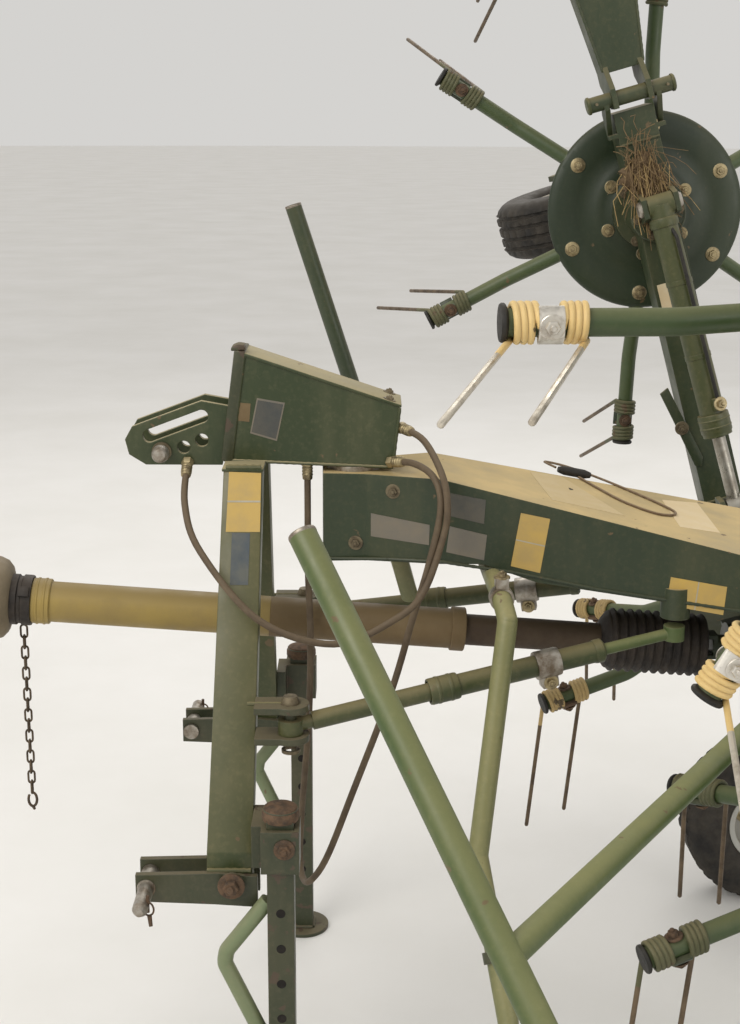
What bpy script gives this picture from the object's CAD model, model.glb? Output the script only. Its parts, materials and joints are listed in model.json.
import bmesh
import bpy
import json
import math
import random
import numpy as np
from mathutils import Matrix, Vector

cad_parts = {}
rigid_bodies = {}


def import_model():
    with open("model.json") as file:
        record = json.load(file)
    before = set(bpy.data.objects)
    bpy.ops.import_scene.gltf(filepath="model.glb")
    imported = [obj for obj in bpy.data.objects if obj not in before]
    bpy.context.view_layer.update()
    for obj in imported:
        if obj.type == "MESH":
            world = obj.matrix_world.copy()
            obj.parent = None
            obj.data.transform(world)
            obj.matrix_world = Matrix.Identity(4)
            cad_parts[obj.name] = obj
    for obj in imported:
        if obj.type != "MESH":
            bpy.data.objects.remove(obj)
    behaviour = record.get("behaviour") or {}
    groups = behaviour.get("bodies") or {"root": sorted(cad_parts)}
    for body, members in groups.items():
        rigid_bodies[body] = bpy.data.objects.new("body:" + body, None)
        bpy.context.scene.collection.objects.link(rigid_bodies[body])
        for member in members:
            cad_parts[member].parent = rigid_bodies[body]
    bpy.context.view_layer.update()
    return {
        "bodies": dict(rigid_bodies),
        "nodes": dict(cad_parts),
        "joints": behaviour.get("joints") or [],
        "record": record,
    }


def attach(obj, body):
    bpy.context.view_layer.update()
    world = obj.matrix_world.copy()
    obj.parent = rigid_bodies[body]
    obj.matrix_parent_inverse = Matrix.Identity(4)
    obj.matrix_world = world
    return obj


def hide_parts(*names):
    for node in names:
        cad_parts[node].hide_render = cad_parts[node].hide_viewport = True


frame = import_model()
nodes = frame["nodes"]
scene = bpy.context.scene

# Named sizes, in metres and degrees, as in the part's source
MIDDLE_BACK, MIDDLE_SIDE = 0.4663, 0.0705
FOLD = {-1: 86, 1: 90}
TILT, SWING_REST = 16, 2.3
ROTOR_BACK, ROTOR_H, PITCH = 1.012, 0.713, 1.15
HINGE_Y, HINGE_Z, HINGE_PLATE = 0.865, 0.122, 0.108
ARM_REACH, ARM_D, DISC_UP = 0.596, 0.036, 0.06
WIRE, CLAMP_L, COIL_TURNS = 0.0095, 0.036, 4
PRONG_L, PRONG_STEP, PRONG_SLOPE, PRONG_TRAIL = 0.325, 0.005, 21, 5
WHEEL_LEAD, WING_DROP, TYRE_D, TYRE_W, RIM_D = 0.12, 0.3, 0.41, 0.15, 0.203
AXLE_DROP = (ROTOR_H - WHEEL_LEAD*math.sin(math.radians(TILT)) - TYRE_D/2)/math.cos(math.radians(TILT))
RANKS = ("inner", "middle", "outer")
FIRST_ARM, NEAR_MIDDLE_TURN = 192, 4


# Frames of reference at rest
def shift(x, y, z):
    return Matrix.Translation((x, y, z))


def turn(degrees, axis):
    return Matrix.Rotation(math.radians(degrees), 4, axis)


MACHINE = shift(-MIDDLE_BACK, MIDDLE_SIDE, 0)
PITCHED = MACHINE @ shift(ROTOR_BACK, 0, ROTOR_H) @ turn(-TILT, "Y")
HEAD = MACHINE @ turn(-SWING_REST, "Z")


def wing(side):
    hinge = shift(0, side*HINGE_Y, HINGE_Z)
    return PITCHED @ hinge @ turn(FOLD[side]*side, "X") @ hinge.inverted()


def at_rotor(side, rank):
    base = PITCHED if rank == 0 else wing(side)
    return base @ shift(0, side*(rank + 0.5)*PITCH, 0)


def at_arm(side, rank, i):
    """The frame of a rotor's arm number i, with x along the arm."""
    first = FIRST_ARM + (NEAR_MIDDLE_TURN if side < 0 and rank == 1 else 0)
    return at_rotor(side, rank) @ turn(first + 60*i, "Z")


def side_name(side):
    return "left" if side < 0 else "right"


def label(side, rank):
    return side_name(side) + "_" + RANKS[rank]


# Camera at the photograph's place: its lens and height are in the photograph's pixels, its angles in radians
LENS_PX, PHOTO_HIGH_PX, SENSOR = 1600, 1024, 36
CAMERA_AT = Vector((-0.0915 - MIDDLE_BACK, -3.036 + MIDDLE_SIDE, 1.912))
LOOK_DOWN, ROLL, YAW = 0.251, 0.004, 0.04


def make_camera():
    data = bpy.data.cameras.new("camera")
    cam = bpy.data.objects.new("camera", data)
    scene.collection.objects.link(cam)
    data.sensor_fit = "VERTICAL"
    data.sensor_height = SENSOR
    data.lens = LENS_PX/PHOTO_HIGH_PX*SENSOR
    data.clip_start, data.clip_end = 0.05, 100
    flat = math.cos(LOOK_DOWN)
    forward = Vector((math.sin(YAW)*flat, math.cos(YAW)*flat, -math.sin(LOOK_DOWN)))
    right = Vector((math.cos(YAW), -math.sin(YAW), 0))
    up = right.cross(forward)
    rolled_right = right*math.cos(ROLL) + up*math.sin(ROLL)
    rolled_up = up*math.cos(ROLL) - right*math.sin(ROLL)
    place = Matrix((rolled_right, rolled_up, -forward)).transposed().to_4x4()
    place.translation = CAMERA_AT
    cam.matrix_world = place
    scene.camera = cam


make_camera()


# Node materials
def new_material(name):
    mat = bpy.data.materials.new(name)
    mat.use_nodes = True
    tree = mat.node_tree
    tree.nodes.clear()
    out = tree.nodes.new("ShaderNodeOutputMaterial")
    bsdf = tree.nodes.new("ShaderNodeBsdfPrincipled")
    tree.links.new(bsdf.outputs[0], out.inputs[0])
    return mat, tree, bsdf


def node(tree, kind, **values):
    n = tree.nodes.new("ShaderNode" + kind)
    for k, v in values.items():
        setattr(n, k, v)
    return n


def noise(tree, scale, detail=4.0, rough=0.55, stretch=None, seed=0.0):
    coords = node(tree, "TexCoord")
    mapping = node(tree, "Mapping")
    mapping.inputs["Location"].default_value = (seed, seed*1.7, seed*0.6)
    if stretch:
        mapping.inputs["Scale"].default_value = stretch
    n = node(tree, "TexNoise")
    n.inputs["Scale"].default_value = scale
    n.inputs["Detail"].default_value = detail
    n.inputs["Roughness"].default_value = rough
    tree.links.new(coords.outputs["Object"], mapping.inputs["Vector"])
    tree.links.new(mapping.outputs[0], n.inputs["Vector"])
    return n.outputs["Fac"]


def span_of(tree, value, low, high, to_low=0.0, to_high=1.0):
    m = node(tree, "MapRange")
    m.inputs["From Min"].default_value = low
    m.inputs["From Max"].default_value = high
    m.inputs["To Min"].default_value = to_low
    m.inputs["To Max"].default_value = to_high
    tree.links.new(value, m.inputs["Value"])
    return m.outputs[0]


def maths(tree, op, a, b):
    m = node(tree, "Math", operation=op)
    for i, v in enumerate((a, b)):
        if isinstance(v, (int, float)):
            m.inputs[i].default_value = v
        else:
            tree.links.new(v, m.inputs[i])
    return m.outputs[0]


def mixed(tree, factor, a, b):
    m = node(tree, "Mix", data_type="RGBA")
    tree.links.new(factor, m.inputs["Factor"])
    for key, v in (("A", a), ("B", b)):
        socket = [i for i in m.inputs if i.name == key and i.type == "RGBA"][0]
        if isinstance(v, tuple):
            socket.default_value = v + (1.0,)
        else:
            tree.links.new(v, socket)
    return [o for o in m.outputs if o.type == "RGBA"][0]


def bump(tree, bsdf, height, distance, strength=0.5, rounding=0.0):
    b = node(tree, "Bump")
    b.inputs["Strength"].default_value = strength
    b.inputs["Distance"].default_value = distance
    tree.links.new(height, b.inputs["Height"])
    if rounding:
        bevel = node(tree, "Bevel", samples=4)
        bevel.inputs["Radius"].default_value = rounding
        tree.links.new(bevel.outputs[0], b.inputs["Normal"])
    tree.links.new(b.outputs[0], bsdf.inputs["Normal"])


def edge_of(tree, radius):
    """1 on a sharp edge, 0 on a flat face."""
    bevel = node(tree, "Bevel", samples=4)
    bevel.inputs["Radius"].default_value = radius
    geometry = node(tree, "NewGeometry")
    dot = node(tree, "VectorMath", operation="DOT_PRODUCT")
    tree.links.new(bevel.outputs[0], dot.inputs[0])
    tree.links.new(geometry.outputs["Normal"], dot.inputs[1])
    return span_of(tree, dot.outputs["Value"], 0.985, 0.8)


def upward(tree):
    geometry = node(tree, "NewGeometry")
    xyz = node(tree, "SeparateXYZ")
    tree.links.new(geometry.outputs["Normal"], xyz.inputs[0])
    return span_of(tree, xyz.outputs["Z"], 0.15, 0.9)


def paint(name, base, light, dust=(0.42, 0.33, 0.17), dusty=0.75, grime=0.2, chip=(0.13, 0.085, 0.04),
          chips=0.7, rough=0.42, seed=0.0, edge=(0.2, 0.19, 0.1), worn=0.45):
    """Old paint: slow changes of tone, dust on upward faces and in faint runs, few chips, pale worn edges."""
    mat, tree, bsdf = new_material(name)
    tone = mixed(tree, span_of(tree, noise(tree, 2.6, 3, 0.5, seed=seed), 0.3, 0.7), base, light)
    runs = span_of(tree, noise(tree, 4, 6, 0.62, (2.2, 2.2, 0.5), seed + 7), 0.46, 0.78, 0.0, grime)
    tone = mixed(tree, runs, tone, dust)
    fine = span_of(tree, noise(tree, 95, 3, 0.6, seed=seed + 3), 0.5, 0.75, 0.0, grime*0.5)
    tone = mixed(tree, fine, tone, dust)
    lie = span_of(tree, noise(tree, 7, 6, 0.6, seed=seed + 1), 0.25, 0.6, 0.6, 1.0)
    up = maths(tree, "MULTIPLY", upward(tree), lie)
    tone = mixed(tree, maths(tree, "MULTIPLY", up, dusty), tone, dust)
    rim = maths(tree, "MULTIPLY", edge_of(tree, 0.0035),
                span_of(tree, noise(tree, 24, 4, 0.6, seed=seed + 15), 0.35, 0.65, 0.25*worn, worn))
    tone = mixed(tree, rim, tone, edge)
    spots = span_of(tree, noise(tree, 30, 3, 0.5, seed=seed + 11), chips, chips + 0.025, 0.0, 0.85)
    tone = mixed(tree, spots, tone, chip)
    tree.links.new(tone, bsdf.inputs["Base Color"])
    shine = span_of(tree, noise(tree, 14, 4, 0.6, seed=seed + 5), 0.3, 0.7, rough - 0.07, rough + 0.13)
    tree.links.new(maths(tree, "MAXIMUM", shine, maths(tree, "MULTIPLY", up, 0.9)), bsdf.inputs["Roughness"])
    bump(tree, bsdf, noise(tree, 110, 3, 0.6, seed=seed + 2), 0.0005, 0.25, 0.003)
    return mat


def worn_metal(name, base, dark, rough=0.42, scale=40.0, metallic=0.85, seed=0.0, low=0.4, high=0.66):
    mat, tree, bsdf = new_material(name)
    tone = mixed(tree, span_of(tree, noise(tree, scale, 5, 0.65, seed=seed), low, high), base, dark)
    tree.links.new(tone, bsdf.inputs["Base Color"])
    tree.links.new(span_of(tree, noise(tree, scale*1.7, 4, 0.6, seed=seed + 4), 0.3, 0.7, rough - 0.1,
                           rough + 0.2), bsdf.inputs["Roughness"])
    bsdf.inputs["Metallic"].default_value = metallic
    bump(tree, bsdf, noise(tree, scale*3, 3, 0.6, seed=seed + 9), 0.0006, 0.35)
    return mat


def dusty_skin(name, base, dust, amount=0.6, rough=0.65, scale=18.0, seed=0.0):
    """Rubber or plastic with dust over it."""
    mat, tree, bsdf = new_material(name)
    patch = span_of(tree, noise(tree, scale, 6, 0.65, seed=seed), 0.36, 0.66, 0.0, amount)
    up = maths(tree, "MAXIMUM", patch, maths(tree, "MULTIPLY", upward(tree), amount))
    tree.links.new(mixed(tree, up, base, dust), bsdf.inputs["Base Color"])
    tree.links.new(span_of(tree, noise(tree, scale*3, 4, 0.6, seed=seed + 2), 0.3, 0.7, rough - 0.1,
                           rough + 0.15), bsdf.inputs["Roughness"])
    bsdf.inputs["Specular IOR Level"].default_value = 0.4
    bump(tree, bsdf, noise(tree, scale*9, 3, 0.6, seed=seed + 5), 0.0008, 0.35)
    return mat


DUST = (0.3, 0.235, 0.115)
M = {
    "beam": paint("beam_paint", (0.018, 0.03, 0.012), (0.026, 0.04, 0.016), (0.56, 0.42, 0.2), 0.93, 0.06,
                  seed=1.3),
    "wing": paint("wing_paint", (0.022, 0.034, 0.014), (0.034, 0.048, 0.02), DUST, 0.5, 0.14, seed=2.6),
    "head": paint("headstock_paint", (0.021, 0.035, 0.01), (0.032, 0.047, 0.014), (0.48, 0.4, 0.23), 0.75,
                  0.1, seed=4.1),
    "leg": paint("leg_paint", (0.03, 0.045, 0.012), (0.052, 0.06, 0.018), DUST, 0.5, 0.22, seed=5.2),
    "hitch": paint("hitch_paint", (0.026, 0.034, 0.014), (0.045, 0.048, 0.022), (0.2, 0.155, 0.09), 0.5, 0.25,
                   (0.07, 0.045, 0.028), 0.62, seed=6.7, edge=(0.16, 0.14, 0.1)),
    "tube": paint("tube_paint", (0.045, 0.078, 0.018), (0.07, 0.098, 0.028), (0.34, 0.31, 0.14), 0.42, 0.16,
                  seed=7.7, edge=(0.3, 0.34, 0.2)),
    "carrier": paint("carrier_paint", (0.1, 0.115, 0.04), (0.145, 0.15, 0.055), (0.42, 0.36, 0.17), 0.5, 0.25,
                     seed=8.1),
    "bow": paint("bow_paint", (0.12, 0.165, 0.08), (0.165, 0.205, 0.105), (0.34, 0.29, 0.17), 0.35, 0.25,
                 seed=8.8),
    "arm": paint("arm_paint", (0.036, 0.06, 0.018), (0.05, 0.076, 0.026), (0.26, 0.24, 0.12), 0.3, 0.12,
                 seed=9.2),
    "disc": paint("disc_paint", (0.013, 0.024, 0.01), (0.022, 0.036, 0.015), (0.16, 0.14, 0.075), 0.3, 0.1,
                  seed=11.5, edge=(0.1, 0.12, 0.07)),
    "steel": worn_metal("worn_steel", (0.42, 0.39, 0.34), (0.17, 0.13, 0.09), 0.42, 35, 0.8, 2.0),
    "bright": worn_metal("bright_steel", (0.66, 0.63, 0.57), (0.3, 0.25, 0.19), 0.34, 45, 0.85, 3.0, 0.52,
                         0.75),
    "zinc": worn_metal("zinc_bolts", (0.42, 0.345, 0.2), (0.13, 0.1, 0.06), 0.42, 50, 0.8, 4.0, 0.45, 0.7),
    "dull_bolt": worn_metal("dull_bolts", (0.2, 0.165, 0.105), (0.08, 0.06, 0.04), 0.5, 50, 0.7, 4.4, 0.45,
                            0.7),
    "rust": worn_metal("rusty_steel", (0.135, 0.08, 0.045), (0.055, 0.038, 0.025), 0.75, 60, 0.2, 5.0),
    "rod": worn_metal("cylinder_rod", (0.4, 0.38, 0.33), (0.2, 0.17, 0.13), 0.3, 20, 0.8, 6.0, 0.45, 0.75),
    "prong": worn_metal("worn_prong", (0.6, 0.55, 0.46), (0.26, 0.21, 0.15), 0.36, 28, 0.7, 6.5, 0.5, 0.8),
    "prong_dull": worn_metal("dull_prong", (0.16, 0.115, 0.07), (0.07, 0.05, 0.032), 0.55, 28, 0.5, 6.9, 0.4,
                             0.7),
    "cream": paint("cream_coat", (0.68, 0.47, 0.17), (0.8, 0.61, 0.29), (0.3, 0.21, 0.1), 0.12, 0.3,
                   (0.045, 0.032, 0.02), 0.655, 0.5, 3.4, (0.85, 0.7, 0.42), 0.3),
    "cream_dusty": paint("dusty_cream_coat", (0.42, 0.29, 0.11), (0.56, 0.41, 0.18), (0.22, 0.16, 0.08), 0.25,
                         0.5, (0.045, 0.032, 0.02), 0.62, 0.6, 5.4, (0.6, 0.48, 0.28), 0.3),
    "olive": paint("old_coil_coat", (0.04, 0.052, 0.018), (0.08, 0.08, 0.034), (0.26, 0.21, 0.11), 0.35, 0.35,
                   (0.1, 0.06, 0.03), 0.62, 0.6, 6.4),
    "tyre": dusty_skin("tyre_rubber", (0.014, 0.013, 0.012), (0.1, 0.082, 0.06), 0.42, 0.72, 16, 1.0),
    "rim": paint("rim_paint", (0.36, 0.36, 0.33), (0.46, 0.45, 0.41), (0.34, 0.27, 0.17), 0.5, 0.4,
                 seed=13.0),
    "yellow": dusty_skin("shaft_guard_plastic", (0.33, 0.235, 0.06), (0.17, 0.125, 0.06), 0.62, 0.5, 5, 3.0),
    "brown": dusty_skin("dusty_tube", (0.12, 0.078, 0.032), (0.2, 0.145, 0.075), 0.6, 0.6, 7, 5.0),
    "inner": dusty_skin("inner_tube", (0.045, 0.028, 0.016), (0.12, 0.085, 0.05), 0.45, 0.65, 9, 5.6),
    "black": dusty_skin("black_rubber", (0.012, 0.01, 0.009), (0.085, 0.062, 0.042), 0.4, 0.62, 25, 7.0),
    "cap": dusty_skin("black_caps", (0.01, 0.01, 0.009), (0.06, 0.05, 0.035), 0.3, 0.6, 30, 7.7),
    "hose": dusty_skin("dusty_hose", (0.08, 0.056, 0.034), (0.17, 0.125, 0.075), 0.6, 0.68, 22, 8.0),
    "cord": dusty_skin("pull_cord", (0.12, 0.075, 0.04), (0.3, 0.23, 0.15), 0.5, 0.85, 60, 8.5),
    "chain": worn_metal("chain_steel", (0.13, 0.095, 0.06), (0.045, 0.032, 0.022), 0.6, 70, 0.5, 12.0),
    "dark": dusty_skin("dark_holes", (0.008, 0.007, 0.006), (0.03, 0.022, 0.016), 0.4, 0.9, 30, 9.9),
    "sign_yellow": dusty_skin("blank_yellow_plate", (0.52, 0.345, 0.085), (0.33, 0.25, 0.12), 0.6, 0.45, 12,
                              14.0),
    "sign_grey": dusty_skin("blank_grey_plate", (0.145, 0.135, 0.115), (0.22, 0.18, 0.12), 0.5, 0.45, 14,
                            15.0),
    "sign_dark": dusty_skin("blank_dark_plate", (0.055, 0.06, 0.058), (0.15, 0.125, 0.085), 0.45, 0.45, 14,
                            15.6),
    "sign_blue": dusty_skin("blank_blue_plate", (0.04, 0.06, 0.085), (0.16, 0.15, 0.1), 0.5, 0.5, 14, 16.0),
    "sign_pale": dusty_skin("blank_pale_plate", (0.66, 0.6, 0.45), (0.62, 0.47, 0.26), 0.7, 0.5, 10, 17.0),
    "line": dusty_skin("sign_border", (0.42, 0.4, 0.33), (0.25, 0.21, 0.13), 0.5, 0.5, 14, 18.0),
    "dark_hay": dusty_skin("old_hay", (0.13, 0.085, 0.042), (0.27, 0.19, 0.1), 0.6, 0.9, 40, 19.5),
    "hay": dusty_skin("dry_hay", (0.42, 0.3, 0.13), (0.22, 0.15, 0.07), 0.8, 0.85, 40, 19.0),
    "muck": dusty_skin("dry_muck", (0.075, 0.048, 0.026), (0.19, 0.13, 0.07), 0.6, 0.9, 35, 20.0),
    "cup": dusty_skin("worn_cup", (0.15, 0.12, 0.075), (0.25, 0.2, 0.13), 0.6, 0.7, 14, 21.0),
    "patch_pale": dusty_skin("pale_patch", (0.68, 0.58, 0.38), (0.58, 0.43, 0.22), 0.6, 0.6, 9, 22.0),
    "patch_tan": dusty_skin("faded_patch", (0.44, 0.35, 0.19), (0.54, 0.41, 0.21), 0.6, 0.6, 9, 23.0),
}


def coat_nodes():
    table = {
        "main_beam": "beam", "swing_post": "steel", "cross_tube": "wing", "centre_gearbox": "disc",
        "inner_gearboxes": "disc", "guard_carriers": "carrier", "guard_left": "tube", "guard_right": "wing",
        "swing_box": "head", "tower_legs": "leg", "top_link_bracket": "head", "lower_brackets": "hitch",
        "hitch_pins": "steel", "pto_shaft": "rust", "pto_guard": "yellow", "pto_chain": "chain",
        "hose_front": "hose", "hose_back": "hose", "beam_cord": "cord"}
    prefixes = {"stand": "hitch", "wing_frame": "wing", "outer_frame": "wing", "lift_barrel": "leg",
                "lift_rod": "rod", "damper_barrel": "leg", "damper_rod": "tube", "rotor": "disc",
                "tines": "olive", "tyre": "tyre", "rim": "rim"}
    for name, obj in nodes.items():
        key = table.get(name)
        if key is None:
            key = next(v for k, v in prefixes.items() if name.startswith(k))
        for slot in obj.material_slots:
            slot.material = M[key]
        if not obj.material_slots:
            obj.data.materials.append(M[key])


coat_nodes()


# Building pieces
def mm(x, y, z):
    return Vector((x, y, z))*0.001


def rounded(points, radius, steps=6):
    """A line of points with each corner turned into an arc."""
    pts = [Vector(p) for p in points]
    out = [pts[0]]
    for a, b, c in zip(pts, pts[1:], pts[2:]):
        u, v = (a - b).normalized(), (c - b).normalized()
        half = u.angle(v)/2
        reach = min(radius/math.tan(half), 0.45*min((a - b).length, (c - b).length))
        centre = b + (u + v).normalized()*(reach/math.cos(half))
        d, e = b + u*reach - centre, b + v*reach - centre
        w = d.angle(e)
        if w < 0.01:
            out.append(b)
            continue
        for i in range(steps + 1):
            t = i/steps
            out.append(centre + (d*math.sin((1 - t)*w) + e*math.sin(t*w))/math.sin(w))
    out.append(pts[-1])
    return out


def along(origin, direction):
    """A frame at origin whose z axis points along direction."""
    place = Vector(direction).to_track_quat("Z", "Y").to_matrix().to_4x4()
    place.translation = origin
    return place


class Shape:
    """One piece, gathered from sweeps, turned profiles and plates. coat is an index in its list of coats."""

    def __init__(self):
        self.verts, self.faces, self.coats = [], [], []

    def add(self, verts, faces, place=None, coat=0):
        first = len(self.verts)
        place = place or Matrix()
        self.verts += [place @ Vector(v) for v in verts]
        self.faces += [[first + i for i in f] for f in faces]
        self.coats += coat if isinstance(coat, list) else [coat]*len(faces)
        return self

    def sweep(self, path, radius, sides=12, place=None, coat=0, closed=False):
        """A round bar along a path. radius and coat may be a list, one for each point."""
        path = [Vector(p) for p in path]
        n = len(path)
        radii = radius if isinstance(radius, list) else [radius]*n
        coats = coat if isinstance(coat, list) else [coat]*n
        side, verts, faces, used = None, [], [], []
        for i, p in enumerate(path):
            if closed:
                tangent = (path[(i + 1) % n] - path[i - 1]).normalized()
            else:
                tangent = (path[min(i + 1, n - 1)] - path[max(i - 1, 0)]).normalized()
            side = tangent.orthogonal() if side is None else side - tangent*side.dot(tangent)
            side.normalize()
            up = tangent.cross(side)
            for k in range(sides):
                a = math.tau*k/sides
                verts.append(p + radii[i]*(side*math.cos(a) + up*math.sin(a)))
        for i in range(n if closed else n - 1):
            j = (i + 1) % n
            for k in range(sides):
                m = (k + 1) % sides
                faces.append((i*sides + k, j*sides + k, j*sides + m, i*sides + m))
                used.append(coats[i])
        if not closed:
            faces += [tuple(range(sides))[::-1], tuple((n - 1)*sides + k for k in range(sides))]
            used += [coats[0], coats[-1]]
        return self.add(verts, faces, place, used)

    def lathe(self, profile, sides=48, place=None, coat=0, closed=False, shape=None):
        """A profile of (radius, height) turned about z. shape(k, r, z) may change a radius round the turn."""
        n = len(profile)
        verts, faces = [], []
        for k in range(sides):
            a = math.tau*k/sides
            for r, z in profile:
                r = shape(k, r, z) if shape else r
                verts.append((r*math.cos(a), r*math.sin(a), z))
        for k in range(sides):
            m = (k + 1) % sides
            for i in range(n if closed else n - 1):
                j = (i + 1) % n
                faces.append((k*n + i, m*n + i, m*n + j, k*n + j))
        if not closed:
            for i in (0, n - 1):
                if profile[i][0] > 1e-6:
                    faces.append(tuple(k*n + i for k in range(sides)))
        return self.add(verts, faces, place, coat)

    def ring(self, inner, outer, low, high, place, coat=0, sides=40, lip=(0, 0)):
        """A collar. lip is how far its outer edges are cut back, in radius and in height."""
        profile = [(inner, low), (outer - lip[0], low), (outer, low + lip[1]), (outer, high - lip[1]),
                   (outer - lip[0], high), (inner, high)]
        if not lip[1]:
            profile = profile[:2] + profile[-2:]
        return self.lathe(profile, sides, place, coat, closed=True)

    def bevelled(self, verts, faces, place, coat, bevel):
        bm = bmesh.new()
        made = [bm.verts.new(v) for v in verts]
        for f in faces:
            bm.faces.new([made[i] for i in f])
        if bevel:
            bmesh.ops.bevel(bm, geom=list(bm.edges), offset=bevel, segments=2, profile=0.5, affect="EDGES")
        bm.verts.index_update()
        self.add([v.co.copy() for v in bm.verts], [[v.index for v in f.verts] for f in bm.faces], place, coat)
        bm.free()
        return self

    def block(self, low, high, place=None, coat=0, bevel=0.0015):
        (a, b, c), (d, e, f) = low, high
        verts = [(a, b, c), (d, b, c), (d, e, c), (a, e, c), (a, b, f), (d, b, f), (d, e, f), (a, e, f)]
        faces = [(0, 3, 2, 1), (4, 5, 6, 7), (0, 1, 5, 4), (1, 2, 6, 5), (2, 3, 7, 6), (3, 0, 4, 7)]
        return self.bevelled(verts, faces, place, coat, bevel)

    def prism(self, outline, low, high, place=None, coat=0, bevel=0.001):
        """A flat outline in x and y, from low to high in z."""
        n = len(outline)
        verts = [(x, y, low) for x, y in outline] + [(x, y, high) for x, y in outline]
        faces = [tuple(range(n))[::-1], tuple(range(n, 2*n))]
        faces += [(i, (i + 1) % n, n + (i + 1) % n, n + i) for i in range(n)]
        return self.bevelled(verts, faces, place, coat, bevel)

    def bolt(self, place, across=0.019, high=0.01, coat=0):
        """A hexagon head on a washer, with its shank's end showing."""
        r = across/2/math.cos(math.pi/6)
        self.lathe([(0, -0.001), (across*0.95, -0.001), (across*0.95, 0.0018), (across*0.9, 0.0025),
                    (0, 0.0025)], 20, place, coat)
        self.lathe([(0, 0.001), (r, 0.001), (r, high*0.8), (r*0.86, high), (0, high)], 6, place, coat)
        self.lathe([(0, high*0.9), (across*0.26, high*0.9), (across*0.26, high*1.25), (across*0.2, high*1.4),
                    (0, high*1.4)], 12, place, coat)
        return self

    def plate(self, corners, outward, coat=0, proud=0.0009, deep=0.0015, frame=None):
        """A thin plate through four corners, in order round it, lying on a face."""
        frame = frame or Matrix()
        pts = [Vector(c)*0.001 for c in corners]
        normal = (pts[2] - pts[0]).cross(pts[3] - pts[1]).normalized()
        if normal.dot(Vector(outward)) < 0:
            normal.negate()
        verts = [p - normal*deep for p in pts] + [p + normal*proud for p in pts]
        faces = [(0, 1, 2, 3), (4, 5, 6, 7), (0, 1, 5, 4), (1, 2, 6, 5), (2, 3, 7, 6), (3, 0, 4, 7)]
        return self.add(verts, faces, frame, coat)

    def weld(self, a, b, radius=0.0035, place=None, coat=0, seed=1):
        """A bead of weld from a to b, uneven along its length."""
        rnd = random.Random(seed)
        a, b = Vector(a), Vector(b)
        n = max(4, int((b - a).length/0.007))
        wave = [radius*(1 + 0.22*(i % 2) + 0.12*rnd.random()) for i in range(n + 1)]
        return self.sweep([a.lerp(b, i/n) for i in range(n + 1)], wave, 8, place, coat)

    def piece(self, name, body, coats, slot_name="green_paint", replaces=(), sharp=38):
        mesh = bpy.data.meshes.new(name)
        mesh.from_pydata([tuple(v) for v in self.verts], [], self.faces)
        for polygon, coat_index in zip(mesh.polygons, self.coats):
            polygon.material_index = coat_index
            polygon.use_smooth = True
        bm = bmesh.new()
        bm.from_mesh(mesh)
        bmesh.ops.remove_doubles(bm, verts=bm.verts, dist=2e-6)
        bmesh.ops.recalc_face_normals(bm, faces=bm.faces)
        bm.to_mesh(mesh)
        bm.free()
        mesh.set_sharp_from_angle(angle=math.radians(sharp))
        for key in coats:
            mesh.materials.append(M[key])
        obj = bpy.data.objects.new(name, mesh)
        scene.collection.objects.link(obj)
        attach(obj, body)
        if replaces:
            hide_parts(*replaces)
        return obj


# Hoses and the pull cord: the route points of the part's source, in millimetres in the machine's frame
HOSE_D, CORD_D = 0.013, 0.005
HOSE_FRONT = [(-321, -32.7, 1244), (-322, -118, 1180), (-290, -190, 1108), (-182, -262, 998),
              (-45, -262, 951), (70, -240, 992), (122, -222, 1040), (156, -204, 1134), (164, -204, 1189),
              (156, -184, 1246), (126, -110, 1298), (85.7, -40, 1310)]
HOSE_BACK = [(66, -57, 1246), (109, -110, 1254), (143, -172, 1238), (152, -196, 1185), (130, -204, 1080),
             (104, -200, 985), (64, -196, 834), (-10, -196, 625), (-58, -206, 500), (-90, -184, 438),
             (-106, -134, 418), (-112, -84, 444), (-108, -66, 520), (-102, -70, 600), (-92, -84, 740),
             (-88, -80, 900), (-92, -54, 1030), (-92, -36, 1140), (-92, -20, 1241.9)]
BEAM_CORD = [(430, 232), (413, 271), (470, 262), (560, 170), (640, 40), (600, -20), (540, 20), (497, 110),
             (470, 180), (452, 205)]


def on_beam(x):
    """Height of the beam's top, in millimetres."""
    return 1226 - (x - 158)*180/802


def route(points, steps):
    """The same smooth curve through the points as in the part's source."""
    p = [Vector(q) for q in points]
    n = len(p)
    out = []
    for i in range(n - 1):
        a, b, c, d = p[max(i - 1, 0)], p[i], p[i + 1], p[min(i + 2, n - 1)]
        for k in range(steps):
            t = k/steps
            out.append(0.5*(2*b + (c - a)*t + (2*a - 5*b + 4*c - d)*t*t + (3*b - a - 3*c + d)*t**3))
    return out + [p[-1]]


ROUTE_STEPS = 8
FERRULE = [(0.0067, 0.004), (0.0098, 0.005), (0.0098, 0.034), (0.009, 0.037), (0.0067, 0.038)]
HOSE_NUT = [(0.0067, -0.002), (0.0115, -0.002), (0.0118, 0), (0.0118, 0.009), (0.011, 0.011), (0.0067, 0.011)]
CRIMPS = (0.013, 0.019, 0.025)


def make_hose(name, points):
    path = [MACHINE @ (q*0.001) for q in route(points, ROUTE_STEPS)]
    hose = Shape().sweep(path, HOSE_D/2, 14)
    hose = hose.piece(name + "_soft", "headstock", ["hose"], "hose_rubber", [name])
    ends = Shape()
    for at, to in ((path[0], path[3]), (path[-1], path[-4])):
        place = along(at, to - at)
        ends.lathe(FERRULE, 20, place)
        ends.lathe(HOSE_NUT, 6, place)
        for s in CRIMPS:
            crimp = [(0.0096, s), (0.0106, s + 0.0015), (0.0106, s + 0.0035), (0.0096, s + 0.005)]
            ends.lathe(crimp, 20, place)
    ends = ends.piece(name + "_fittings", "headstock", ["zinc"], "steel")


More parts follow.
